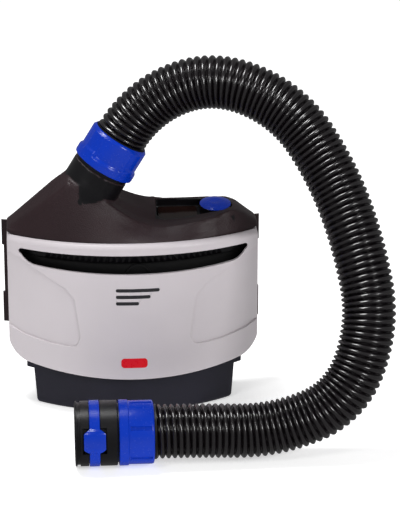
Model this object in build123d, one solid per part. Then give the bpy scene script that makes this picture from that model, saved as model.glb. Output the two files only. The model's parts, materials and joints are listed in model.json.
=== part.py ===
from build123d import *
import os
from math import atan2, cos, degrees, pi, radians, sin, sqrt, tan

# Powered air respirator: a belt-worn blower unit with a breathing hose.
# Millimetres. The unit's front faces -Y, +X is to the right, +Z is up, and
# the origin is on the ground under the middle of the unit.

# ---- driving dimensions: the unit's outer shape ----
DEPTH = 94.0                  # front of the cover to the ends of the belt plate
HALF_DEPTH = DEPTH / 2
COVER_HALF_WIDTH = 110.0
COVER_SIDE_TOP = 157.2         # top edge of the cover at its sides
COVER_CROWN = 4.0             # how much higher that edge is in the middle
FRONT_RADIUS = 159.5          # curve of the cover's face, seen from above
FRONT_CENTRE_Y = FRONT_RADIUS - HALF_DEPTH
PLATE_HALF_WIDTH = 115.0
PLATE_MIDDLE_Y = 30.0         # wearer side of the belt plate, at its middle
BACK_RADIUS = 397.5           # curve of the wearer side
WALL = 2.5
GAP = 0.3                     # clearance between parts that only sit side by side
TALL = 400.0                  # a length past every part, for cutting tools

# ---- cover ----
COVER_WALL = 2.8
COVER_BACK_Y = 18.3
PANEL_DEPTH = 1.4
PANEL_EDGE_RADIUS = 1.0
SLOT_EDGE_RADIUS = 0.6
CORNER_RADIUS = 6.0
TOP_RIM_RADIUS = 4.5
FOOT_RIM_RADIUS = 2.0
SLOT_HALF_WIDTH = 99.0
LATCH_Y = (3.0, 15.0)
LATCH_Z = (92.0, 118.0)
HINGE_X = -106.5
HINGE_Y = 21.5
HINGE_PIN_RADIUS = 1.5
KNUCKLE_RADIUS = 3.2
COVER_KNUCKLES = ((88.0, 100.0), (120.0, 132.0))
HOUSING_KNUCKLES = ((76.0, 87.7), (132.3, 144.0))

# ---- housings ----
HOUSING_HALF_WIDTH = 103.5
HOUSING_Z = (46.0, 149.8)
HOUSING_BACK_Y = 26.8
RIM_RADIUS = 150.8
INLET_PLATE_RADII = (136.8, 134.5)
INLET_RADIUS = 19.0
FILTER_Z = (57.0, 142.5)
FILTER_HALF_WIDTH = 99.0
HOOD_BOTTOM = 150.0
HOOD_FRONT_RADIUS = 153.6
HOOD_FRONT_TOP = 160.4
HOOD_WALL = 2.6
RIDGE_Y = -22.0
CREST_SHARE = 0.42            # place of the crest between ridge and back edge

# ---- outlet neck and hose, along a slanted axis ----
NECK_BASE = Vector(-25, 0, 219)
NECK_TILT = 31.6              # degrees from vertical towards +X
NECK_RADIUS = 25.3
SPIGOT_RADIUS = 24.9
COLLAR_LENGTH = 30.5
HOSE_RADIUS = 23.0
HOSE_BORE = 20.8
HOSE_ROUTE = [
    (-8.76, 0, 245.4), (9.6, 0, 275.3), (70, -9, 301), (133, -31, 278),
    (168, -61, 226), (187, -93, 173), (197, -120, 113), (173, -138, 50),
    (112, -136, 24), (46, -139, 28), (12, -139, 28),
]

# ---- far connector, lying on the ground along X ----
CONNECTOR_Y = -139.0
CONNECTOR_Z = 28.0
CONNECTOR_END_X = 12.0
SLEEVE_X = (-56.0, -20.5)
SLEEVE_RADIUS = 27.5
CONNECTOR_BORE = 21.5
CLIP_X = (-44.2, -35.4)
PAD_Z = CONNECTOR_Z + 4.0     # middle of the clip's thumb pad

# ---- blower ----
FAN_X = 0.0
FAN_Z = 98.0
FAN_RADIUS = 30.0
VOLUTE_Y = (-12.0, 8.0)
SCROLL_SMALL = 34.0
SCROLL_LARGE = 46.0
SCROLL_TURN = 310.0
TONGUE_ANGLE = 130.0
SHAFT_RADIUS = 1.5
MOTOR_SCREW_CIRCLE = 18.0
BLADES = 11

# ---- control deck ----
DECK_TILT = 9.0
BUTTON_CENTRE = (73.0, 9.0, 178.0)
BUTTON_RADIUS = 13.7
RECESS_DEPTH = 9.0

# ---- battery ----
BATTERY_HALF_WIDTH = 89.0
BATTERY_RADIUS = 148.5
BATTERY_BACK_Y = 25.0
CASE_TOP = 37.0
LID_Z = (37.0, 45.2)
LID_HALF_WIDTH = 95.0
LID_RADIUS = 154.0
CELL_RADIUS = 9.1
CELL_LENGTH = 65.0
CELL_ROWS = (-7.0, 11.3)

SCREW_RADIUS = 1.5
SCREW_HEAD_RADIUS = 3.0
BOARD_THICKNESS = 1.6
HOUSING_SCREWS = [(-84, -7.2), (84, -7.2), (-70, 25.5), (70, 25.5)]
REAR_BOSS_RADIUS = 5.5
LED_PLACES = (-26.0, -41.0)
LED_V = -4.0
MAIN_BOARD = (54.0, 84.0, 14.0, 14.0 + BOARD_THICKNESS, 66.0, 136.0)
BOARD_SCREW_PLACES = [(57, 70), (81, 70), (57, 120), (81, 132)]


# ------------------------------------------------------------------ helpers
def block(x0, x1, y0, y1, z0, z1):
    """A box between six limits."""
    return Pos((x0 + x1) / 2, (y0 + y1) / 2, (z0 + z1) / 2) * Box(x1 - x0, y1 - y0, z1 - z0)


def upright(radius, z0, z1, x=0.0, y=0.0):
    """A cylinder along Z."""
    return Pos(x, y, (z0 + z1) / 2) * Cylinder(radius, z1 - z0)


def fore_aft(radius, y0, y1, x=FAN_X, z=FAN_Z):
    """A cylinder along Y."""
    return Pos(x, (y0 + y1) / 2, z) * Rot(X=90) * Cylinder(radius, y1 - y0)


def crosswise(radius, x0, x1, y=CONNECTOR_Y, z=CONNECTOR_Z):
    """A cylinder along X."""
    return Pos((x0 + x1) / 2, y, z) * Rot(Y=90) * Cylinder(radius, x1 - x0)


def on_neck(along):
    """The place at a distance along the neck's slanted axis."""
    return Pos(*NECK_BASE) * Rot(Y=NECK_TILT) * Pos(0, 0, along)


def neck_rod(radius, s0, s1):
    """A cylinder along the neck's axis, between two distances from its base."""
    return on_neck((s0 + s1) / 2) * Cylinder(radius, s1 - s0)


def on_deck(u, v, w):
    """The place at u, v, w in the tilted frame of the control deck."""
    return Pos(*BUTTON_CENTRE) * Rot(X=DECK_TILT) * Pos(u, v, w)


def front_y(x, radius):
    """Y of a curve that follows the cover's face at a radius, for a given X."""
    return FRONT_CENTRE_Y - sqrt(radius ** 2 - x ** 2)


def back_y(x, middle_y):
    """Y of a curve that follows the wearer side, for a given X."""
    return middle_y + BACK_RADIUS - sqrt(BACK_RADIUS ** 2 - x ** 2)


def ahead_of_back(middle_y):
    """Everything on the unit's side of a curve that follows the wearer."""
    far = upright(BACK_RADIUS, -TALL, TALL, 0, middle_y + BACK_RADIUS)
    return block(-130, 130, -70, 70, -5, 260) - far


def plan_body(radius, half_width, middle_y, z0, z1):
    """A body whose plan is the curved front, straight sides and curved back."""
    body = block(-half_width, half_width, -60, 60, z0, z1)
    body &= upright(radius, z0, z1, 0, FRONT_CENTRE_Y)
    return body & ahead_of_back(middle_y)


def front_band(outer, inner, half_width, z0, z1):
    """A curved panel that follows the cover's face between two radii."""
    band = upright(outer, z0, z1, 0, FRONT_CENTRE_Y) - upright(inner, z0, z1, 0, FRONT_CENTRE_Y)
    return band & block(-half_width, half_width, -60, 60, z0, z1)


def front_shape(face):
    """A front-view face drawn in X and Z, carried through the whole depth."""
    return extrude(Plane.XZ * face, amount=80, both=True)


def solids_of(items):
    """Separate solids that share one node."""
    return Compound(children=[s for item in items for s in item.solids()])


def screw(length, head=2.4):
    """A pan-head screw that points down from its head's underside at the origin."""
    body = Pos(0, 0, -length / 2) * Cylinder(SCREW_RADIUS, length)
    body += Pos(0, 0, head / 2) * Cylinder(SCREW_HEAD_RADIUS, head)
    return body - Pos(0, 0, head) * Box(4.2, 0.8, 1.8) - Pos(0, 0, head) * Box(0.8, 4.2, 1.8)


# ------------------------------------------------------------------ cover
def cover_outline(inset, rise=0.0, open_below=False):
    """The cover's front view: crowned top, straight sides, round lower corners, shallow curved foot."""
    half = COVER_HALF_WIDTH - inset
    side = COVER_SIDE_TOP - inset + rise
    crown = ThreePointArc((-half, side), (0, side + COVER_CROWN), (half, side))
    if open_below:
        return make_face(crown + Polyline((half, side), (half, 0), (-half, 0), (-half, side)))
    corner = (half, 60 + inset * 0.4)
    foot = (half - 16, 44 + inset * 0.8)
    bulge = (half - 5.9, (corner[1] + foot[1]) / 2 - 2.1)
    right = Line((half, side), corner) + ThreePointArc(corner, bulge, foot)
    left = mirror(right, Plane.YZ)
    return make_face(crown + right + ThreePointArc(foot, (0, 36.5 + inset), (-foot[0], foot[1])) + left)


def slot_face():
    """The intake slot: nearly level above, a long sagging curve below, blunt round ends."""
    half = SLOT_HALF_WIDTH
    top = half - 2, 149.4
    tip = half - 1.4, 143.9
    foot = half - 13, 136.2
    right = ThreePointArc(top, (half + 0.8, 146.8), tip) + ThreePointArc(tip, (half - 5.5, 139.2), foot)
    upper = ThreePointArc((-top[0], top[1]), (0, 151.5), top)
    lower = ThreePointArc(foot, (0, 134.3), (-foot[0], foot[1]))
    return make_face(upper + right + lower + mirror(right, Plane.YZ))


def side_panel_face():
    """The shallow panel sunk in the right half of the cover."""
    line = FilletPolyline((116, 146), (98, 140), (60, 119), (53, 110), (48, 74.5), (52, 65.5), (74, 66.5),
                          (98, 70.5), (116, 78), radius=5)
    return make_face(line + Line((116, 78), (116, 146)))


def rim_edges(body, face, radius):
    """The edges that an opening or panel, drawn in front view, leaves on a face of the given radius."""
    walls = front_shape(face).faces() + mirror(front_shape(face), Plane.YZ).faces()
    found = []
    for edge in body.edges().filter_by(lambda e: e.center().Y < -1):
        middle = edge @ 0.5
        on_radius = abs(sqrt(middle.X ** 2 + (middle.Y - FRONT_CENTRE_Y) ** 2) - radius) < 0.06
        touches = [w.distance_to(middle) < 0.02 and w.distance_to(edge @ 0.1) < 0.02 for w in walls]
        if on_radius and any(touches):
            found.append(edge)
    return found


def cover_body():
    """The cover as a full block: curved face, round corners, soft rims, sunk side panels."""
    body = front_shape(cover_outline(0))
    body &= block(-COVER_HALF_WIDTH, COVER_HALF_WIDTH, -60, COVER_BACK_Y, 0, 200)
    body &= upright(FRONT_RADIUS, 0, 200, 0, FRONT_CENTRE_Y)
    corners = [e for e in body.edges().filter_by(Axis.Z) if e.center().Y < 0 and e.length > 50]
    body = fillet(corners, CORNER_RADIUS)
    ahead = body.edges().filter_by(lambda e: e.center().Y < COVER_BACK_Y - 1)
    body = fillet([e for e in ahead if e.bounding_box().min.Z > COVER_SIDE_TOP - 0.1], TOP_RIM_RADIUS)
    ahead = body.edges().filter_by(lambda e: e.center().Y < COVER_BACK_Y - 1)
    body = fillet([e for e in ahead if e.bounding_box().max.Z < 60.5], FOOT_RIM_RADIUS)
    panel = front_shape(side_panel_face()) - upright(FRONT_RADIUS - PANEL_DEPTH, 0, 200, 0, FRONT_CENTRE_Y)
    panel &= block(0, 120, -60, 0, 0, 200)
    body -= panel + mirror(panel, Plane.YZ)
    return fillet(rim_edges(body, side_panel_face(), FRONT_RADIUS), PANEL_EDGE_RADIUS)


def filter_cover():
    inner = front_shape(cover_outline(COVER_WALL, open_below=True))
    inner &= upright(FRONT_RADIUS - COVER_WALL, -10, 200, 0, FRONT_CENTRE_Y)
    behind = front_shape(cover_outline(COVER_WALL, rise=20, open_below=True))
    behind &= upright(HOOD_FRONT_RADIUS + 0.4, -10, 200, 0, FRONT_CENTRE_Y)
    shell = cover_body() - inner - behind
    shell -= front_shape(slot_face()) & block(-120, 120, -60, 0, 0, 200)
    shell = fillet(rim_edges(shell, slot_face(), FRONT_RADIUS), SLOT_EDGE_RADIUS)
    shell -= block(100, 120, *LATCH_Y, *LATCH_Z)
    shell -= badge_body(0.0) + mark_body(0.0)
    for z0, z1 in COVER_KNUCKLES:
        shell += upright(KNUCKLE_RADIUS, z0, z1, HINGE_X, HINGE_Y)
        shell += block(-COVER_HALF_WIDTH, -COVER_HALF_WIDTH + COVER_WALL, 15, HINGE_Y, z0, z1)
    return shell - upright(HINGE_PIN_RADIUS + 0.05, 0, 200, HINGE_X, HINGE_Y)


def badge_body(ease):
    """A plain rounded bar let into the cover's face, low in the middle."""
    face = Pos(-1.5, 52.5) * RectangleRounded(23 - ease, 9 - ease, 3)
    return front_shape(face) & front_band(FRONT_RADIUS, FRONT_RADIUS - 0.8, 40, 30, 130)


def mark_body(ease):
    """Three stacked airflow strokes let into the cover's face, above the badge."""
    strokes = [Pos(2 + shift, z) * RectangleRounded(width - ease, 3.2 - ease, 1.4)
               for width, shift, z in ((38, 0, 120), (30, -4, 114), (20, -9, 108))]
    band = front_band(FRONT_RADIUS, FRONT_RADIUS - 0.8, 40, 30, 130)
    return solids_of([front_shape(stroke) & band for stroke in strokes])


def cover_latch():
    """The press tab in the cover's right side, held in by its inner flange."""
    tab = block(105, 109.8, LATCH_Y[0] + GAP, LATCH_Y[1] - GAP, LATCH_Z[0] + GAP, LATCH_Z[1] - GAP)
    flange = block(105, 106.8, LATCH_Y[0] - 1.5, LATCH_Y[1] + 1.5, LATCH_Z[0] - 1.5, LATCH_Z[1] + 1.5)
    ribs = [block(109, 110.4, 3.8, 14.2, z, z + 1.2) for z in (97, 101, 105, 109, 113)]
    body = tab + flange
    for rib in ribs:
        body += rib
    return body


def spark_screen():
    """The slotted metal screen that stops sparks, with a round finger tab."""
    band = front_band(150.4, 149.5, FILTER_HALF_WIDTH - 1, 59, 141)
    hole = Pos(0, -149.9, 0) * Box(5.0, 6, 9.5)
    holes = [Pos(0, FRONT_CENTRE_Y, z) * Rot(Z=angle) * hole
             for angle in range(-36, 37, 3) for z in (67, 80, 93, 106, 119)
             if not (abs(angle) < 5 and z > 110)]
    tab = fore_aft(11.5, -60, 0, 3, 130) & front_band(151.8, 150.2, 40, 100, 150)
    return band - holes + (tab - fore_aft(9.6, -60, 0, 3, 130))


def prefilter():
    return front_band(149.2, 147.4, 90.4, 64.4, 134.6)


def filter_frame():
    outer = front_band(149.2, 138.2, FILTER_HALF_WIDTH - 0.5, 58, 141.4)
    return outer - front_band(160, 130, 91, 64, 135)


def filter_media():
    """The pleated sheet: a zigzag between two radii, as tall as the frame's window."""
    folds = 96
    half_angle = 36.5
    thickness = 0.35
    line = []
    for i in range(folds + 1):
        angle = radians(-half_angle + 2 * half_angle * i / folds)
        radius = 146.2 if i % 2 else 139.4
        line.append((radius, angle))
    outer = [((r + thickness) * sin(a), FRONT_CENTRE_Y - (r + thickness) * cos(a)) for r, a in line]
    inner = [((r - thickness) * sin(a), FRONT_CENTRE_Y - (r - thickness) * cos(a)) for r, a in reversed(line)]
    face = make_face(Polyline(*(outer + inner), close=True))
    return Pos(0, 0, 64.4) * extrude(face, amount=70.2)


def filter_seal():
    return front_band(138.0, 137.0, 96, 60, 139.5) - front_band(150, 130, 91, 64, 135)


# ------------------------------------------------------------------ housings
def rear_corner_cuts(inset):
    """The slanted rear corners, where the belt passes."""
    line_x = HOUSING_HALF_WIDTH - inset
    face = make_face(Polyline((line_x, 20 - inset * 0.4), (line_x + 30, 20 - inset * 0.4), (line_x + 30, 70),
                              (line_x - 17 - 17, 70), (line_x - 17, 36), close=True))
    wedge = extrude(face, amount=300)
    return wedge + mirror(wedge, Plane.YZ)


def inlet_plate_hole():
    return fore_aft(INLET_RADIUS, -60, 0)


def rear_housing():
    body = plan_body(RIM_RADIUS, HOUSING_HALF_WIDTH, HOUSING_BACK_Y, *HOUSING_Z)
    body &= front_shape(cover_outline(6.5, rise=20))
    body -= rear_corner_cuts(0)
    pocket = front_band(RIM_RADIUS + 9, INLET_PLATE_RADII[0], FILTER_HALF_WIDTH, *FILTER_Z)
    cavity = plan_body(INLET_PLATE_RADII[1], HOUSING_HALF_WIDTH - WALL, HOUSING_BACK_Y - WALL,
                       HOUSING_Z[0] + 3, 160)
    cavity &= front_shape(cover_outline(9, rise=20))
    cavity -= rear_corner_cuts(WALL)
    body -= pocket + cavity
    body -= inlet_plate_hole()
    for x in (-60, 60):
        for z in (80, 130):
            body += fore_aft(4, 19, 29, x, z)
    for x, y in HOUSING_SCREWS:
        if y > 0:
            body += upright(REAR_BOSS_RADIUS, FILTER_Z[1], HOUSING_Z[1], x, y)
    for x, z in motor_screw_places():
        body += fore_aft(3.4, 22, 26, x, z)
    for z0, z1 in HOUSING_KNUCKLES:
        body += upright(KNUCKLE_RADIUS, z0, z1, HINGE_X, HINGE_Y)
        body += block(HINGE_X, -98, 16, HINGE_Y + KNUCKLE_RADIUS, z0, z1)
    for x, y in HOUSING_SCREWS:
        body -= upright(SCREW_RADIUS + 0.1, 140, 152, x, y)
        body -= upright(SCREW_HEAD_RADIUS + 0.2, 140, 145.4, x, y)
    for x, z in motor_screw_places():
        body -= fore_aft(SCREW_RADIUS, 21, 25, x, z)
    for x in (-60, 60):
        for z in (80, 130):
            body -= fore_aft(SCREW_RADIUS, 20.5, 33, x, z)
    body -= block(39, 61, -5, 11, 40, 52)
    return body - upright(HINGE_PIN_RADIUS + 0.02, 0, 200, HINGE_X, HINGE_Y)


def motor_screw_places():
    """The three motor screws, on a circle about the fan's axis."""
    return [(FAN_X + MOTOR_SCREW_CIRCLE * cos(radians(a)), FAN_Z + MOTOR_SCREW_CIRCLE * sin(radians(a)))
            for a in (90, 210, 330)]


# Height of the hood's front ridge, of its crest behind it and of its back edge, at each station along X.
HOOD_STATIONS = [
    (-110, 160.8, 163.5, 159.5), (-98, 172, 177, 170), (-84, 184.5, 191.5, 182.5), (-70, 197.5, 205.5, 195),
    (-56, 210.5, 216.5, 206), (-46, 207.5, 211.5, 204.5), (-33, 199, 203.5, 200), (-20, 189.5, 195, 194.5),
    (-8, 180.5, 187, 190), (4, 173.5, 180.5, 185.5), (16, 169.5, 176.5, 182.5), (28, 168.3, 174.7, 180.5),
    (42, 170, 175.2, 180), (57, 172.5, 176.3, 180), (71, 175.8, 178, 179.5), (84, 178.5, 179.3, 178.5),
    (92, 177, 177, 174.8), (100, 171.3, 170.8, 167.6), (110, 162.5, 161.8, 158.8),
]


def hood_section(x, ridge_z, crest_z, back_z, inset):
    """One cross-section of the hood: front edge, ridge, crest, back edge."""
    front = front_y(x, HOOD_FRONT_RADIUS) + inset
    ridge = max(RIDGE_Y, front + 6)
    back = back_y(x, HOUSING_BACK_Y) - inset
    crest = ridge + (back - ridge) * CREST_SHARE
    bottom = HOOD_BOTTOM - inset
    drop = inset * 1.15
    points = [(front, bottom), (front, HOOD_FRONT_TOP - inset), (ridge + inset * 0.5, ridge_z - drop),
              (crest, crest_z - drop), (back - 3, back_z - drop), (back, back_z - 4 - inset), (back, bottom)]
    return Plane.YZ.offset(x) * make_face(Polyline(*points, close=True))


def hood_loft(inset):
    scale = (COVER_HALF_WIDTH - inset) / COVER_HALF_WIDTH
    return loft([hood_section(x * scale, *heights, inset) for x, *heights in HOOD_STATIONS], ruled=True)


def recess_face(grow):
    """The control recess: square at the left, round about the button at the right."""
    left = -52 - grow
    back = 14 + grow
    radius = 14.6 + grow
    front = -19 - grow
    line = Polyline((0, back), (left, back), (left, front + 5), (left + 5, front), (left + 16, front),
                    (5, -radius + 0.9))
    round_end = ThreePointArc((5, -radius + 0.9), (radius, 0), (0, back))
    return make_face(line + round_end)


def upper_housing():
    outer = hood_loft(0)
    neck = neck_rod(NECK_RADIUS, -60, -3.2)
    inside = hood_loft(HOOD_WALL)
    body = outer - inside
    bosses = [upright(REAR_BOSS_RADIUS, HOOD_BOTTOM, 175, x, y) for x, y in HOUSING_SCREWS]
    for boss in bosses:
        body += boss & outer
    tub = on_deck(0, 0, -RECESS_DEPTH - 2) * extrude(recess_face(2), amount=40)
    body += tub & outer
    body += neck - (inside & block(-130, 130, -70, 70, 100, 260))
    body -= neck_rod(NECK_RADIUS - 2.8, -70, 10)
    body -= on_deck(0, 0, -RECESS_DEPTH) * extrude(recess_face(0), amount=40)
    body -= on_deck(0, 0, -RECESS_DEPTH) * Cylinder(3.4, 12)
    for u in LED_PLACES:
        body -= on_deck(u, LED_V, -RECESS_DEPTH) * Cylinder(2.2, 12)
    for x, y in HOUSING_SCREWS:
        body -= upright(SCREW_RADIUS, 140, 158.5, x, y)
    rebate = block(-115, 115, -60, COVER_BACK_Y + 1.9, HOOD_BOTTOM - 10, COVER_SIDE_TOP + 0.6)
    rebate -= block(-105.3, 105.3, -60, 60, 100, 200)
    return body - rebate


def display_window():
    face = Pos(-33, -1.5) * RectangleRounded(34, 29, 3)
    return on_deck(0, 0, -RECESS_DEPTH) * extrude(face, amount=1.2)


def indicator_leds():
    return solids_of([on_deck(u, LED_V, (-9.2 - 17.5) / 2) * Cylinder(1.8, 17.5 - 9.2) for u in LED_PLACES])


def control_board():
    board = on_deck(-20, -1.5, -17.5 - BOARD_THICKNESS / 2) * Box(52, 19, BOARD_THICKNESS)
    return board


def tactile_switch():
    body = on_deck(0, 0, -16.6) * Box(6, 6, 1.8)
    return body + on_deck(0, 0, -15.4) * Cylinder(1.7, 0.8)


def power_button():
    """A domed cap with a shallow dished face and a plunger underneath."""
    cap = Pos(0, 0, -1.4) * Cylinder(BUTTON_RADIUS, 10.8) & Pos(0, 0, -30) * Sphere(34.0)
    cap -= Pos(0, 0, 43.4) * Sphere(40.2)
    plunger = Pos(0, 0, (-6.8 - 13.6) / 2) * Cylinder(3.0, 13.6 - 6.8)
    return on_deck(0, 0, 0) * (cap + plunger)


def button_seal():
    ring = on_deck(0, 0, -8.65) * Cylinder(6.5, 0.7)
    return ring - on_deck(0, 0, -8.6) * Cylinder(3.5, 2)


def belt_plate():
    """The curved plate against the wearer, with a tall belt slot near each end."""
    plate = plan_body(400, PLATE_HALF_WIDTH, PLATE_MIDDLE_Y, 60, 156)
    plate -= plan_body(400, 125, PLATE_MIDDLE_Y - 2.9, 0, 200)
    for side in (-1, 1):
        x0, x1 = sorted((side * 97.5, side * 106.5))
        plate -= block(x0, x1, 0, 60, 84.5, 136.5)
        grip = sorted((side * (PLATE_HALF_WIDTH - 1.6), side * 120))
        plate -= block(*grip, 0, 60, 88, 133)
    for x in (-60, 60):
        for z in (80, 130):
            plate -= fore_aft(SCREW_RADIUS + 0.1, 20, 50, x, z)
            plate -= fore_aft(SCREW_HEAD_RADIUS + 0.2, 33.1, 50, x, z)
    return plate


def belt_plate_screws():
    return solids_of([Pos(x, 33.2, z) * Rot(X=-90) * screw(12, 1.2) for x in (-60, 60) for z in (80, 130)])


def housing_screws():
    return solids_of([Pos(x, y, 145.2) * Rot(X=180) * screw(13) for x, y in HOUSING_SCREWS])


# ------------------------------------------------------------------ blower
def scroll_face(inset):
    """The volute's outline: a spiral that opens into a straight upward outlet."""
    steps = 24
    points = []
    for i in range(steps + 1):
        turned = SCROLL_TURN * i / steps
        angle = radians(TONGUE_ANGLE - turned)
        radius = SCROLL_SMALL + (SCROLL_LARGE - SCROLL_SMALL) * turned / SCROLL_TURN - inset
        points.append((FAN_X + radius * cos(angle), FAN_Z + radius * sin(angle)))
    spiral = make_face(Spline(*points) + Line(points[-1], points[0]))
    outlet = Pos(FAN_X - SCROLL_LARGE + 13, FAN_Z + 25) * Rectangle(26 - 2 * inset, 50 + 0.2 * inset)
    return spiral + outlet + Pos(FAN_X, FAN_Z) * Circle(SCROLL_SMALL - inset - 1)


def volute_half(y0, y1, plate_first):
    """Half of the volute: a plate at one face and the scroll wall."""
    outer = Pos(0, y1, 0) * extrude(Plane.XZ * scroll_face(0), amount=y1 - y0)
    hollow0, hollow1 = (y0 + 2, y1 + 1) if plate_first else (y0 - 1, y1 - 2)
    inner = Pos(0, hollow1, 0) * extrude(Plane.XZ * scroll_face(2), amount=hollow1 - hollow0)
    body = outer - inner
    x0 = FAN_X - SCROLL_LARGE + 2
    return body - block(x0, x0 + 22, max(y0, hollow0), min(y1, hollow1), FAN_Z + 45, 160)


def volute_front():
    return volute_half(VOLUTE_Y[0], -2.1, True) - fore_aft(INLET_RADIUS + 1, -20, -5)


def volute_rear():
    return volute_half(-2.0, VOLUTE_Y[1], False) - fore_aft(6.5, 0, 12)


def inlet_seal():
    """The foam ring between the inlet plate and the volute."""
    ring = fore_aft(24, -24, VOLUTE_Y[0] - 0.1) - fore_aft(INLET_RADIUS + 0.5, -30, 0)
    return ring & upright(INLET_PLATE_RADII[1] - 0.2, 50, 150, 0, FRONT_CENTRE_Y)


def impeller():
    """A backward-curved wheel: back plate, hub, blades and a front ring."""
    wheel = fore_aft(FAN_RADIUS, 3.4, 5) + fore_aft(5, -5, 5)
    blade = make_face(ThreePointArc((12, 0), (21, 3.8), (26.8, 12.2)) + Line((26.8, 12.2), (25.8, 13.2))
                      + ThreePointArc((25.8, 13.2), (20.2, 5.0), (12, 1.2)) + Line((12, 1.2), (12, 0)))
    for i in range(BLADES):
        turned = Pos(FAN_X, FAN_Z) * Rot(Z=i * 360 / BLADES) * blade
        wheel += Pos(0, 4, 0) * extrude(Plane.XZ * turned, amount=12)
    ring = fore_aft(FAN_RADIUS, -9, -7.6) - fore_aft(INLET_RADIUS - 0.5, -10, -5)
    return wheel + ring - fore_aft(SHAFT_RADIUS, -20, 20)


def motor_shaft():
    return fore_aft(SHAFT_RADIUS, -8, 19.4)


def rotor_bell():
    bell = fore_aft(13.4, 8.8, 18.2) - fore_aft(12.2, 10.1, 30)
    return bell - fore_aft(SHAFT_RADIUS, 0, 20)


def rotor_magnets():
    ring = fore_aft(12.15, 12.2, 18) - fore_aft(10.9, 10, 20)
    for i in range(4):
        ring -= Pos(FAN_X, 15, FAN_Z) * Rot(Y=i * 45) * Box(40, 10, 0.6)
    return ring


def stator_core():
    core = fore_aft(6.8, 12.6, 17.8)
    for i in range(9):
        tooth = Rot(Y=i * 40) * Pos(8, 0, 0) * Box(4.6, 5.2, 1.5)
        tooth += Rot(Y=i * 40) * Pos(10, 0, 0) * Box(0.8, 5.2, 4.6)
        core += Pos(FAN_X, 15.2, FAN_Z) * tooth
    return (core - fore_aft(5.25, 0, 30)) & fore_aft(10.4, 0, 30)


def stator_coils():
    coils = []
    for i in range(9):
        coil = Pos(8.2, 0, 0) * (Box(2.2, 7.2, 3.3) - Box(3, 5.3, 1.6))
        coils.append(Pos(FAN_X, 15.2, FAN_Z) * Rot(Y=i * 40) * coil)
    return solids_of(coils)


def motor_bearings():
    hole = fore_aft(SHAFT_RADIUS + 0.05, 0, 30)
    return solids_of([fore_aft(3.99, y, y + 2.5) - hole for y in (12.2, 16.6)])


def motor_base():
    """The plate that carries the motor's hub, screwed to the rear wall."""
    base = fore_aft(16, 19.6, 21.9)
    for x, z in motor_screw_places():
        base += fore_aft(4.2, 19.6, 21.9, x, z)
    base += fore_aft(5.2, 12, 20)
    base -= fore_aft(4.0, 0, 19.3)
    for x, z in motor_screw_places():
        base -= fore_aft(SCREW_RADIUS + 0.1, 0, 30, x, z)
    return base - fore_aft(SHAFT_RADIUS + 0.4, 0, 30)


def motor_screws():
    return solids_of([Pos(x, 19.5, z) * Rot(X=90) * screw(5, 1.6) for x, z in motor_screw_places()])


def outlet_duct():
    """The rubber duct that turns the volute's square outlet into the round neck."""
    base_z = 148.6
    middle_y = sum(VOLUTE_Y) / 2
    x = FAN_X - SCROLL_LARGE + 13
    def shape(width, depth, radius, s):
        square = Plane.XY.offset(base_z) * Pos(x, middle_y) * Rectangle(width, depth)
        round_end = on_neck(s) * Circle(radius)
        return loft([square, round_end])
    outer = shape(26, 20, 22.3, -45)
    inner = shape(22, 16, 20.2, -45)
    return outer - inner


# ------------------------------------------------------------------ outlet and hose
def outlet_spigot():
    """The black sleeve that the hose's collar snaps round."""
    body = neck_rod(NECK_RADIUS - 2.9, -44.7, -3.1) + neck_rod(SPIGOT_RADIUS, -3.1, 14)
    groove = neck_rod(26, 8, 10) - neck_rod(23.4, 7, 11)
    return body - neck_rod(20.2, -60, 20) - groove


def outlet_seal():
    return neck_rod(24.85, 8.1, 9.9) - neck_rod(23.45, 7, 11)


def hose_cuff():
    cuff = neck_rod(24.8, 14.4, 28.4) + neck_rod(23.2, 28.4, 31)
    return cuff - neck_rod(HOSE_BORE, 10, 40)


def collar_body(length, lip):
    """A turning collar: a wider foot, a panelled grip and an inward lip at its end."""
    body = Pos(0, 0, length / 2) * Cylinder(26.7, length)
    body += Pos(0, 0, lip / 2) * Cylinder(27.8, lip)
    for angle in range(0, 360, 60):
        panel = Pos(27.0, 0, lip + 1 + (length - lip) / 2) * Box(1.6, 14, length - lip - 5)
        body -= Rot(Z=angle) * panel
    body += Rot(Z=180) * Pos(27.3, 0, length * 0.62) * Box(2.4, 9, 6)
    body -= Pos(0, 0, (length - 2) / 2 - 1) * Cylinder(SPIGOT_RADIUS + 0.08, length)
    return body - Pos(0, 0, length) * Cylinder(23.4, 10)


def hose_collar():
    return on_neck(0) * collar_body(COLLAR_LENGTH, 12)


def breathing_hose():
    """A plain tube along the hose's route, which part of the assembly bends."""
    radii = route_radii()
    print("hose arc radii", [round(r, 1) for r in radii])
    path = FilletPolyline(*HOSE_ROUTE, radius=radii)
    start = Plane(origin=path @ 0, z_dir=path % 0)
    ring = start * (Circle(HOSE_RADIUS) - Circle(HOSE_BORE))
    tube = sweep(ring, path=path)
    expected = pi * (HOSE_RADIUS ** 2 - HOSE_BORE ** 2) * path.length
    print("hose length", round(path.length, 1), "volume ratio", round(tube.volume / expected, 4))
    return tube


def route_radii():
    """Each corner's arc: 0.45 of its shorter run over the tangent of half its turn."""
    points = [Vector(*p) for p in HOSE_ROUTE]
    radii = []
    for before, corner, after in zip(points, points[1:], points[2:]):
        turn = (corner - before).get_angle(after - corner)
        shorter = min((corner - before).length, (after - corner).length)
        radii.append(0.45 * shorter / tan(radians(turn / 2)))
    return radii


def far_cuff():
    end = CONNECTOR_END_X
    cuff = crosswise(24.8, end - 16, end - 4.2) + crosswise(23.2, end - 4.2, end)
    return cuff - crosswise(HOSE_BORE, end - 20, end + 1)


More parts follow.
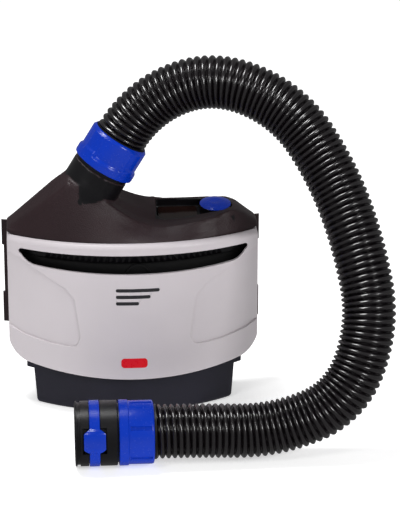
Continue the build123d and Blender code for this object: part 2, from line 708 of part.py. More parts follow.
def connector_sleeve():
    """The connector's black sleeve: a groove for the clip and a stepped end."""
    x0, x1 = SLEEVE_X
    body = crosswise(SLEEVE_RADIUS, x0, x1) + crosswise(SPIGOT_RADIUS, x1, CONNECTOR_END_X - 16.3)
    body -= crosswise(30, CLIP_X[0] - 0.4, CLIP_X[1] + 0.4) - crosswise(24.2, -60, 0)
    step = crosswise(30, x0 + 1.6, x0 + 4.4) - crosswise(26.0, -60, 0)
    body -= step & block(x0, x1, CONNECTOR_Y - 40, CONNECTOR_Y, CONNECTOR_Z - 3, 70)
    body -= block(-49.8, -29.8, CONNECTOR_Y - 40, CONNECTOR_Y - 21, PAD_Z - 11.5, PAD_Z + 10.5)
    bore = crosswise(CONNECTOR_BORE, x0 - 1, x0 + 22)
    seal_x = SLEEVE_X[1] + 6
    body -= crosswise(30, seal_x - 0.1, seal_x + 1.7) - crosswise(23.4, -60, 0)
    return body - bore - crosswise(20.8, -60, 20)


def connector_seal():
    x0 = SLEEVE_X[1] + 6
    return crosswise(24.85, x0, x0 + 1.6) - crosswise(23.5, -60, 0)


def release_clip():
    """A spring band in the sleeve's groove with an eight-sided thumb pad."""
    band = crosswise(27.9, *CLIP_X) - crosswise(26.0, -60, 0)
    middle_x = sum(CLIP_X) / 2
    face = make_face(Polyline((-9.2, -5.6), (-9.2, 4.6), (-4.6, 9.2), (4.6, 9.2),
                              (9.2, 4.6), (9.2, -5.6), (4.6, -10.6), (-4.6, -10.6), close=True))
    pad = Pos(middle_x, 0, PAD_Z) * extrude(Plane.XZ * face, amount=40)
    pad = Pos(0, CONNECTOR_Y, 0) * pad & (crosswise(29.3, -60, 0) - crosswise(26.4, -60, 0))
    return band + (pad & block(-60, 0, CONNECTOR_Y - 40, CONNECTOR_Y - 20, 0, 60))


def coupling_collar():
    x1 = CONNECTOR_END_X - 1.8
    collar = collar_body(x1 - SLEEVE_X[1] - 1.2, 7.5)
    return Pos(SLEEVE_X[1] + 1.2, CONNECTOR_Y, CONNECTOR_Z) * Rot(Y=90) * Rot(Z=-90) * collar


# ------------------------------------------------------------------ electronics
def main_board():
    board = block(*MAIN_BOARD)
    for x, z in BOARD_SCREW_PLACES:
        board -= fore_aft(SCREW_RADIUS + 0.1, 10, 20, x, z)
    return board


def board_components():
    chips = [(62, 70, 8.0, 84, 94), (60, 66, 11.5, 100, 106),
             (68, 78, 12.4, 100, 110), (60, 72, 10.5, 118, 124)]
    items = [block(x0, x1, y0, 13.98, z0, z1) for x0, x1, y0, z0, z1 in chips]
    items += [fore_aft(2.6, 7, 13.98, x, 78) for x in (64, 71)]
    return solids_of(items)


def buzzer():
    return fore_aft(5, 9.5, 13.98, 76, 92) - fore_aft(1, 5, 11, 76, 92)


def board_screws():
    return solids_of([Pos(x, 13.9, z) * Rot(X=90) * screw(4.5, 1.4) for x, z in BOARD_SCREW_PLACES])


def power_contacts():
    """The socket block in the housing's floor that the battery's blades enter."""
    body = block(39.5, 60.5, -4.5, 10.5, 46.6, 60)
    for x in BLADE_PLACES:
        body -= block(x - 0.8, x + 0.8, -2.6, 8.6, 40, 55)
    return body


BLADE_PLACES = (43.0, 47.7, 52.3, 57.0)


def cable(points, radius, bend):
    """A lead along straight runs joined by arcs."""
    path = FilletPolyline(*points, radius=bend)
    start = Plane(origin=path @ 0, z_dir=path % 0)
    return sweep(start * Circle(radius), path=path)


def motor_lead():
    return cable([(16.3, 20.4, 98), (30, 20.4, 98), (42, 20.4, 112), (53.3, 14.8, 112)], 1.4, 5)


def battery_lead():
    return cable([(50, 3, 60.1), (50, 3, 68), (50, 14.8, 74), (53.9, 14.8, 74)], 1.4, 2.4)


# ------------------------------------------------------------------ battery
def battery_case():
    flat = plan_body(BATTERY_RADIUS, BATTERY_HALF_WIDTH, BATTERY_BACK_Y, 0, 1)
    top = flat.faces().sort_by(Axis.Z)[-1]
    body = extrude(Pos(0, 0, CASE_TOP - 1) * top, amount=-CASE_TOP, taper=4)
    low = body.edges().group_by(Axis.Z)[0]
    body = fillet(low, 5)
    cavity = plan_body(BATTERY_RADIUS - WALL, 81.5, BATTERY_BACK_Y - WALL, 2.5, 50)
    cavity &= upright(BATTERY_RADIUS - WALL - 1.6, 0, 50, 0, FRONT_CENTRE_Y)
    body -= cavity & ahead_of_back(BATTERY_BACK_Y - WALL - 2)
    for x, y in BATTERY_POSTS:
        body += upright(4, 2, CASE_TOP - 0.2, x, y) - upright(SCREW_RADIUS, 25, 40, x, y)
    return body


BATTERY_POSTS = [(-77, 6), (77, 6), (0, -26.5)]


def battery_lid():
    """The flanged lid: it carries the blades and the latch, and screws to the case."""
    body = plan_body(LID_RADIUS, LID_HALF_WIDTH, BATTERY_BACK_Y + 1, *LID_Z)
    body = fillet([e for e in body.edges().filter_by(Axis.Z)], 3)
    hollow = plan_body(144, 70, BATTERY_BACK_Y - WALL - 2, 36, 42.6)
    body -= hollow - upright(5.8, 30, 50, *BATTERY_POSTS[2])
    body -= block(88.0, 100, LATCH_TAB_Y[0] - 0.5, LATCH_TAB_Y[1] + 0.5, 30, 50)
    for x in BLADE_PLACES:
        body -= block(x - 0.5, x + 0.5, -2, 8, 40, 50)
    for x, y in BATTERY_POSTS:
        body -= upright(SCREW_RADIUS + 0.1, 30, 50, x, y)
        body -= upright(SCREW_HEAD_RADIUS + 0.2, 42.5, 50, x, y)
    return body


LATCH_TAB_Y = (3.0, 19.0)


def battery_latch():
    """The side press latch: a sliding block with a thin finger tab hanging from it."""
    body = block(90.6, 95.8, LATCH_TAB_Y[0], LATCH_TAB_Y[1], 37.6, 45)
    body += block(94.0, 95.8, LATCH_TAB_Y[0] + 2, LATCH_TAB_Y[1] - 2, 32.5, 40)
    tongue = block(90.6, 92.6, 7, 15, 44, 48.2)
    return body + tongue


def battery_cells():
    cells = []
    for y in CELL_ROWS:
        for z in (12.2, 30.9):
            for x in (-CELL_LENGTH / 2 - 0.3, CELL_LENGTH / 2 + 0.3):
                cells.append(crosswise(CELL_RADIUS, x - CELL_LENGTH / 2, x + CELL_LENGTH / 2, y, z))
    return solids_of(cells)


def cell_links():
    links = []
    for side in (-1, 1):
        x0, x1 = sorted((side * (CELL_LENGTH + 0.35), side * (CELL_LENGTH + 0.75)))
        links += [block(x0, x1, y - 4, y + 4, 8, 35) for y in CELL_ROWS]
    return solids_of(links)


def battery_board():
    return block(68.0, 69.6, -8, 14, 5, 40)


def battery_contacts():
    return solids_of([block(x - 0.45, x + 0.45, -1.9, 7.9, 42.7, 53) for x in BLADE_PLACES])


def battery_screws():
    return solids_of([Pos(x, y, 42.6) * screw(14, 2.0) for x, y in BATTERY_POSTS])


def cover_hinge_pin():
    return upright(HINGE_PIN_RADIUS, 75, 145, HINGE_X, HINGE_Y)


def cover_badge():
    return badge_body(0.1)


def cover_mark():
    return mark_body(0.1)


PARTS = [
    rear_housing, upper_housing, belt_plate, belt_plate_screws, housing_screws, outlet_spigot, outlet_seal,
    outlet_duct, volute_front, volute_rear, inlet_seal, impeller, motor_shaft, rotor_bell, rotor_magnets,
    stator_core, stator_coils, motor_bearings, motor_base, motor_screws, main_board, board_components, buzzer,
    board_screws, power_contacts, motor_lead, battery_lead, display_window, indicator_leds, control_board,
    tactile_switch, power_button, button_seal, spark_screen, prefilter, filter_frame, filter_media,
    filter_seal,
    filter_cover, cover_latch, cover_hinge_pin, cover_badge, cover_mark, battery_case, battery_lid,
    battery_latch, battery_cells, cell_links, battery_board, battery_contacts, battery_screws, hose_cuff,
    hose_collar, breathing_hose, far_cuff, connector_sleeve, connector_seal, release_clip, coupling_collar,
]


def main():
    os.makedirs("parts", exist_ok=True)
    for make in PARTS:
        export_step(make(), f"parts/{make.__name__}.step")


main()
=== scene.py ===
"""Looks of a belt-worn powered air respirator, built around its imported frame.

The unit stands on a pale floor with its breathing hose arching from the
outlet collar at the top left, round the right side and back along the
ground to its far connector. Metres throughout, in the frame's own axes.
"""
import json
import logging
import math
from dataclasses import dataclass, field
from enum import Enum
from typing import Callable, Iterable, Sequence

import bmesh
import bpy
from mathutils import Matrix, Vector

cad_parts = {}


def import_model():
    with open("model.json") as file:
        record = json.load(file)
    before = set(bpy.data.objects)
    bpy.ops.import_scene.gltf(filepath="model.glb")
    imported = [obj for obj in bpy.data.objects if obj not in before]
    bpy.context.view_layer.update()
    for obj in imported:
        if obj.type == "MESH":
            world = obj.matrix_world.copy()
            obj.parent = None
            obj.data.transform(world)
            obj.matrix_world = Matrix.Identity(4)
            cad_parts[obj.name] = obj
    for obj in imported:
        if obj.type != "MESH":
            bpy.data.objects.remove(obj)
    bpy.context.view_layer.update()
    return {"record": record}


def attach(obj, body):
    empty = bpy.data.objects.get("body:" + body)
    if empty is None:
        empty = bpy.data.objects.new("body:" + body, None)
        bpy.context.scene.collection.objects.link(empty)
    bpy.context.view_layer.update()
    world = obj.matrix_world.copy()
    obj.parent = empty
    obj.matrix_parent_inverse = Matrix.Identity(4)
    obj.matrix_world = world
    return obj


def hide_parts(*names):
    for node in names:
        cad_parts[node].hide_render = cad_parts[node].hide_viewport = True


LOG = logging.getLogger("respirator")
MM = 0.001
MOTTLE_PER_METRE = 28.0  # the plastics' faint mottling, about 35 mm across


# ------------------------------------------------------------------ small helpers
def linear(code: str) -> tuple[float, float, float, float]:
    """Turns an sRGB hex colour to linear light.

    Args:
        code: six hex digits, with or without a leading hash.

    Returns:
        Red, green, blue and an alpha of one.
    """
    digits = code.lstrip("#")
    parts = [int(digits[i:i + 2], 16) / 255 for i in (0, 2, 4)]
    red, green, blue = (c / 12.92 if c <= 0.04045 else ((c + 0.055) / 1.055) ** 2.4 for c in parts)
    return red, green, blue, 1.0


def add_node(tree: bpy.types.NodeTree, kind: str, values: dict | None = None,
             links: dict | None = None, **settings) -> bpy.types.Node:
    """Adds one shader node with its settings, socket values and incoming links.

    Args:
        tree: the node tree of a material.
        kind: the node's type name.
        values: socket name or number to its fixed value.
        links: socket name or number to the output socket that feeds it.
        settings: attributes of the node itself.

    Returns:
        The new node.
    """
    made = tree.nodes.new(kind)
    for name, value in settings.items():
        setattr(made, name, value)
    for name, value in (values or {}).items():
        made.inputs[name].default_value = value
    for name, source in (links or {}).items():
        tree.links.new(source, made.inputs[name])
    return made


def object_from(name: str, shape: bmesh.types.BMesh, smooth_angle: float = 35.0) -> bpy.types.Object:
    """Turns a finished bmesh into an object whose place is in its mesh.

    Args:
        name: the piece's name.
        shape: the bmesh, which is freed.
        smooth_angle: edges sharper than this many degrees stay crisp.

    Returns:
        The new object, linked to the scene.
    """
    mesh = bpy.data.meshes.new(name)
    shape.to_mesh(mesh)
    shape.free()
    for face in mesh.polygons:
        face.use_smooth = True
    mesh.set_sharp_from_angle(angle=math.radians(smooth_angle))
    made = bpy.data.objects.new(name, mesh)
    bpy.context.scene.collection.objects.link(made)
    return made


def new_material(name: str) -> tuple[bpy.types.Material, bpy.types.NodeTree, bpy.types.NodeSocket]:
    """Starts a material with an empty node tree.

    Args:
        name: the material's name.

    Returns:
        The material, its tree and the output that gives the place on the piece.
    """
    material = bpy.data.materials.new(name)
    material.use_nodes = True
    tree = material.node_tree
    tree.nodes.clear()
    return material, tree, add_node(tree, "ShaderNodeTexCoord").outputs["Object"]


def dress(piece: bpy.types.Object, material: bpy.types.Material) -> None:
    """Gives a piece one material in its only slot."""
    piece.data.materials.clear()
    piece.data.materials.append(material)


def place(piece: bpy.types.Object, body: str, slot: str, *stands_for: str) -> bpy.types.Object:
    """Lets a finished piece ride on a body and stand for CAD nodes.

    Args:
        piece: the finished piece.
        body: the body it moves with.
        slot: the record's material slot for its finish; not used.
        stands_for: names of CAD nodes that it replaces.

    Returns:
        The same piece.
    """
    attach(piece, body)
    if stands_for:
        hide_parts(*stands_for)
    LOG.info("%s: %d faces on %s", piece.name, len(piece.data.polygons), body)
    return piece


# ------------------------------------------------------------------ finishes
class Grain(Enum):
    """How a moulded surface was textured in its tool."""

    POLISHED = "polished"
    SATIN = "satin"
    SPARK = "spark eroded"


@dataclass(frozen=True)
class MouldedPlastic:
    """A moulded thermoplastic: one body colour, a tool grain and faint mottling."""

    name: str
    colour: str
    grain: Grain = Grain.SATIN
    roughness: float = 0.42
    ior: float = 1.49
    coat: float = 0.0
    specular: float = 0.5
    grain_mm: float = 0.9
    depth: float = 0.25
    mottle: float = 0.06

    def build(self) -> bpy.types.Material:
        """Makes the material.

        Returns:
            The material.
        """
        material, tree, spot = new_material(self.name)
        per_metre = 1 / (self.grain_mm * MM)
        fine = add_node(tree, "ShaderNodeTexNoise", {"Scale": per_metre, "Detail": 3.0, "Roughness": 0.6},
                        {"Vector": spot})
        broad = add_node(tree, "ShaderNodeTexNoise", {"Scale": MOTTLE_PER_METRE, "Detail": 2.0},
                         {"Vector": spot})
        dark, light = self._shades()
        ramp = add_node(tree, "ShaderNodeValToRGB", links={"Fac": broad.outputs["Fac"]})
        ramp.color_ramp.elements[0].color = dark
        ramp.color_ramp.elements[1].color = light
        ramp.color_ramp.elements[0].position = 0.35
        ramp.color_ramp.elements[1].position = 0.65
        rough = add_node(tree, "ShaderNodeMapRange",
                         {"From Min": 0.3, "From Max": 0.7, "To Min": self.roughness - 0.05,
                          "To Max": self.roughness + 0.07}, {"Value": fine.outputs["Fac"]})
        shader = add_node(tree, "ShaderNodeBsdfPrincipled",
                          {"IOR": self.ior, "Coat Weight": self.coat, "Coat Roughness": 0.12,
                           "Specular IOR Level": self.specular},
                          {"Base Color": ramp.outputs["Color"], "Roughness": rough.outputs["Result"]})
        self._add_bump(tree, spot, fine, shader)
        add_node(tree, "ShaderNodeOutputMaterial", links={"Surface": shader.outputs["BSDF"]})
        return material

    def _shades(self) -> tuple[Sequence[float], Sequence[float]]:
        """Works out the two near shades that the mottling runs between.

        Returns:
            The darker and the lighter shade.
        """
        base = linear(self.colour)
        dark = [c * (1 - self.mottle) for c in base[:3]] + [1.0]
        light = [min(1.0, c * (1 + self.mottle)) for c in base[:3]] + [1.0]
        return dark, light

    def _add_bump(self, tree: bpy.types.NodeTree, spot: bpy.types.NodeSocket,
                  fine: bpy.types.Node, shader: bpy.types.Node) -> None:
        """Adds the tool grain as bump: pits for spark erosion, a soft ripple for satin.

        Args:
            tree: the material's tree.
            spot: the output that gives the place on the piece.
            fine: the noise of the grain.
            shader: the shader that takes the bump.
        """
        if self.grain is Grain.POLISHED:
            return
        height = fine.outputs["Fac"]
        if self.grain is Grain.SPARK:
            pits = add_node(tree, "ShaderNodeTexVoronoi", {"Scale": 1 / (self.grain_mm * MM)},
                            {"Vector": spot}, feature="SMOOTH_F1")
            mix = add_node(tree, "ShaderNodeMath",
                           links={0: pits.outputs["Distance"], 1: fine.outputs["Fac"]}, operation="ADD")
            height = mix.outputs["Value"]
        bump = add_node(tree, "ShaderNodeBump", {"Strength": self.depth, "Distance": 0.2 * MM},
                        {"Height": height})
        tree.links.new(bump.outputs["Normal"], shader.inputs["Normal"])


@dataclass(frozen=True)
class WorkedMetal:
    """A metal surface: its colour, how rough it was left, and the marks of its making."""

    name: str
    colour: str
    roughness: float = 0.28
    mark_mm: float = 0.6
    depth: float = 0.08
    stretch: tuple[float, float, float] = (1.0, 1.0, 1.0)

    def build(self) -> bpy.types.Material:
        """Makes the material.

        Returns:
            The material.
        """
        material, tree, spot = new_material(self.name)
        stretched = add_node(tree, "ShaderNodeMapping", {"Scale": self.stretch}, {"Vector": spot})
        marks = add_node(tree, "ShaderNodeTexNoise", {"Scale": 1 / (self.mark_mm * MM), "Detail": 4.0},
                         {"Vector": stretched.outputs["Vector"]})
        shade = add_node(tree, "ShaderNodeValToRGB", links={"Fac": marks.outputs["Fac"]})
        base = linear(self.colour)
        shade.color_ramp.elements[0].color = [c * 0.8 for c in base[:3]] + [1.0]
        shade.color_ramp.elements[1].color = base
        rough = add_node(tree, "ShaderNodeMapRange",
                         {"To Min": self.roughness * 0.8, "To Max": self.roughness * 1.3},
                         {"Value": marks.outputs["Fac"]})
        bump = add_node(tree, "ShaderNodeBump", {"Strength": self.depth, "Distance": 0.1 * MM},
                        {"Height": marks.outputs["Fac"]})
        shader = add_node(tree, "ShaderNodeBsdfPrincipled", {"Metallic": 1.0},
                          {"Base Color": shade.outputs["Color"], "Roughness": rough.outputs["Result"],
                           "Normal": bump.outputs["Normal"]})
        add_node(tree, "ShaderNodeOutputMaterial", links={"Surface": shader.outputs["BSDF"]})
        return material


@dataclass(frozen=True)
class CellPattern:
    """A surface made of small cells or patches: foam, filter paper, a circuit board's tracks."""

    name: str
    low: str
    high: str
    cell_mm: float
    roughness: float = 0.8
    depth: float = 0.5
    feature: str = "F1"
    metric: str = "EUCLIDEAN"

    def build(self) -> bpy.types.Material:
        """Makes the material.

        Returns:
            The material.
        """
        material, tree, spot = new_material(self.name)
        cells = add_node(tree, "ShaderNodeTexVoronoi", {"Scale": 1 / (self.cell_mm * MM)}, {"Vector": spot},
                         feature=self.feature, distance=self.metric)
        shade = add_node(tree, "ShaderNodeValToRGB", links={"Fac": cells.outputs["Distance"]})
        shade.color_ramp.elements[0].color = linear(self.low)
        shade.color_ramp.elements[1].color = linear(self.high)
        shade.color_ramp.elements[1].position = 0.6
        bump = add_node(tree, "ShaderNodeBump", {"Strength": self.depth, "Distance": 0.2 * MM},
                        {"Height": cells.outputs["Distance"]})
        shader = add_node(tree, "ShaderNodeBsdfPrincipled", {"Roughness": self.roughness},
                          {"Base Color": shade.outputs["Color"], "Normal": bump.outputs["Normal"]})
        add_node(tree, "ShaderNodeOutputMaterial", links={"Surface": shader.outputs["BSDF"]})
        return material


# Each of the record's material slots, and the real finish of the pieces in it.
FINISHES = {
    # Glass-filled nylon from a spark-eroded tool: a warm dark brown-grey, finely pitted.
    # The pits are drawn at 0.8 mm, coarser than the real 0.2 mm, so that they show.
    "dark_housing": MouldedPlastic("housing_spark_textured_nylon", "#26161a", Grain.SPARK, 0.46,
                                   specular=0.42, grain_mm=0.8, depth=0.9),
    # ABS/PC cover from a fine satin tool: a light warm grey with broad soft highlights.
    "cover_grey": MouldedPlastic("cover_satin_abs", "#c8c1c5", Grain.SATIN, 0.42, grain_mm=1.2, depth=0.05,
                                 mottle=0.012),
    # Blue polypropylene from a polished tool: saturated cobalt with a soft waxy shine.
    "blue_plastic": MouldedPlastic("collar_blue_polypropylene", "#0030aa", Grain.SATIN, 0.22, specular=0.4,
                                   grain_mm=2.2, depth=0.02, mottle=0.02),
    # Battery ABS: a cool dark grey from a fine spark tool.
    "battery_grey": MouldedPlastic("battery_grey_abs", "#23222d", Grain.SPARK, 0.42, specular=0.4,
                                   grain_mm=0.9, depth=0.3),
    # Black nylon of the connector: semi-matt with a fine grain. It is also put on faces that lie in shade, as
    # painted shade.
    "black_plastic": MouldedPlastic("black_nylon_and_painted_shade", "#0b0a0d", Grain.SATIN, 0.34, specular=0.4, grain_mm=0.9,
                                    depth=0.12),
    # Polyurethane hose: extruded over a helix, so smooth, deep black and glossy.
    "hose_black": MouldedPlastic("hose_black_polyurethane", "#0e0a0d", Grain.POLISHED, 0.2, 1.52,
                                 specular=0.9, mottle=0.05),
    # Soft thermoplastic rubber of cuffs and seals: a dull black.
    "seal_rubber": MouldedPlastic("seal_black_rubber", "#0c0b0c", Grain.SATIN, 0.4, grain_mm=1.5,
                                  depth=0.1),
    # Fan moulded in white PBT: slightly waxy.
    "fan_white": MouldedPlastic("fan_white_pbt", "#dcdad4", Grain.SATIN, 0.4, grain_mm=1.0, depth=0.08),
    # Turned and ground steel of shafts and screws: fine rings round the part.
    "steel": WorkedMetal("steel_turned_zinc_plated", "#b9bbbe", 0.3, 0.5),
    # Nickel-plated rotor magnets: bright and smooth.
    "magnet": WorkedMetal("magnet_nickel_plated", "#a9a8a2", 0.22, 1.5, 0.03),
    # Enamelled copper wire: orange-brown with the wires' lines across it.
    "copper": WorkedMetal("copper_wire_enamelled", "#b4632c", 0.32, 0.5, 0.5, (1.0, 0.15, 1.0)),
    # Stamped brass contacts: yellow, lightly drawn.
    "brass_contact": WorkedMetal("contact_brass_stamped", "#c9a24a", 0.3, 0.7),
    # Fibreglass board under green solder mask: squared patches stand for its tracks.
    "circuit_board": CellPattern("circuit_board_solder_mask", "#0d3a22", "#17603a", 2.4, 0.35, 0.15, "F1",
                                 "MANHATTAN"),
    # Moulded epoxy of electronic components: near black with a fine matt grain.
    "component_black": MouldedPlastic("component_black_epoxy", "#17171a", Grain.SATIN, 0.45, grain_mm=0.4),
    # Silicone-insulated red lead: soft and slightly glossy.
    "lead_red": MouldedPlastic("lead_red_silicone", "#a81d1a", Grain.SATIN, 0.35, grain_mm=1.0, depth=0.05),
    # Smoked acrylic window: glossy and nearly black, warm where light gets in.
    "window_smoke": MouldedPlastic("window_smoked_acrylic", "#1c0f0c", Grain.POLISHED, 0.12, specular=0.3),
    # Red epoxy of the indicator lamps, unlit.
    "led_red": MouldedPlastic("indicator_red_epoxy", "#7a1512", Grain.POLISHED, 0.2, coat=0.3),
    # Pleated glass-fibre filter paper: off-white with a faint fibrous mottle.
    "filter_paper": CellPattern("filter_paper_glass_fibre", "#dedbd0", "#f2f0e8", 0.9, 0.9, 0.3),
    # Open-cell prefilter foam: dark grey cells.
    "prefilter_foam": CellPattern("prefilter_open_cell_foam", "#0b0b0c", "#1b1b1d", 1.1, 0.95, 0.9),
    # Spark screen of punched steel under black enamel: it hardly shines.
    "screen_metal": MouldedPlastic("spark_screen_black_enamel", "#060607", Grain.SATIN, 0.45, 1.4,
                                   grain_mm=0.8),
    # Filter frame, moulded in black polypropylene.
    "filter_plastic": MouldedPlastic("filter_frame_black_polypropylene", "#0e0e0f", Grain.SATIN, 0.5,
                                     grain_mm=1.2),
    # Red enamel inlay: even and softly glossy.
    "badge_red": MouldedPlastic("badge_red_enamel", "#d8121c", Grain.SATIN, 0.3, grain_mm=1.4, depth=0.03),
    # Dark grey printed inlay: matt.
    "mark_grey": MouldedPlastic("mark_grey_ink", "#242326", Grain.SATIN, 0.55, grain_mm=1.4, depth=0.03),
    # Shrink wrap of the cells: glossy green film.
    "cell_wrap": MouldedPlastic("cell_wrap_green_pvc", "#1d7a4c", Grain.SATIN, 0.25, grain_mm=3.0, depth=0.1),
}


# ------------------------------------------------------------------ studio
@dataclass
class Studio:
    """The floor, the soft lights and the camera."""

    target: Vector = field(default_factory=lambda: Vector((0.059, 0.0, 0.1297)))
    distance: float = 2.2
    azimuth: float = -4.0
    elevation: float = 20.0
    picture_height: float = 0.4576

    def build(self) -> None:
        """Makes the whole studio."""
        self._camera()
        self._floor()
        self._lights()

    def _camera(self) -> None:
        """Makes the camera at the viewing angle."""
        data = bpy.data.cameras.new("camera")
        data.sensor_width = 36.0
        data.lens = data.sensor_width * self.distance / self.picture_height
        data.dof.use_dof = False
        camera = bpy.data.objects.new("camera", data)
        bpy.context.scene.collection.objects.link(camera)
        turn, rise = math.radians(self.azimuth), math.radians(self.elevation)
        back = Vector((math.sin(turn) * math.cos(rise), -math.cos(turn) * math.cos(rise), math.sin(rise)))
        camera.location = self.target + back * self.distance
        camera.rotation_euler = (-back).to_track_quat("-Z", "Y").to_euler()
        bpy.context.scene.camera = camera

    def _floor(self) -> None:
        """Makes the pale floor, which the unit's gloss doesn't mirror."""
        shape = bmesh.new()
        bmesh.ops.create_grid(shape, x_segments=1, y_segments=1, size=6.0)
        floor = object_from("floor", shape)
        paper = bpy.data.materials.new("floor_white_paper")
        paper.use_nodes = True
        shader = paper.node_tree.nodes["Principled BSDF"]
        shader.inputs["Base Color"].default_value = linear("#fbfbfb")
        shader.inputs["Roughness"].default_value = 0.9
        shader.inputs["Specular IOR Level"].default_value = 0.1
        shader.inputs["Emission Color"].default_value = (1, 1, 1, 1)
        shader.inputs["Emission Strength"].default_value = 0.55
        dress(floor, paper)
        floor.visible_glossy = False

    def _lights(self) -> None:
        """Makes a dim even surround and three soft boxes."""
        world = bpy.data.worlds.new("surround")
        world.use_nodes = True
        shader = world.node_tree.nodes["Background"]
        shader.inputs["Color"].default_value = (1, 1, 1, 1)
        shader.inputs["Strength"].default_value = 0.2
        bpy.context.scene.world = world
        self._soft_box("key_light", (-1.0, -1.5, 1.5), 0.45, 9.0)
        self._soft_box("fill_light", (1.3, -1.5, 1.0), 0.45, 15.5)
        self._soft_box("top_light", (-0.4, 0.05, 1.85), 0.6, 22.0)
        bpy.context.scene.view_settings.view_transform = "Standard"

    def _soft_box(self, name: str, spot: Sequence[float], size: float, power: float) -> None:
        """Makes one square area light that faces the unit.

        Args:
            name: the light's name.
            spot: its place.
            size: the side of its square face.
            power: its power in watts.
        """
        data = bpy.data.lights.new(name, "AREA")
        data.size = size
        data.energy = power
        light = bpy.data.objects.new(name, data)
        bpy.context.scene.collection.objects.link(light)
        light.location = spot
        light.rotation_euler = (self.target - Vector(spot)).to_track_quat("-Z", "Y").to_euler()


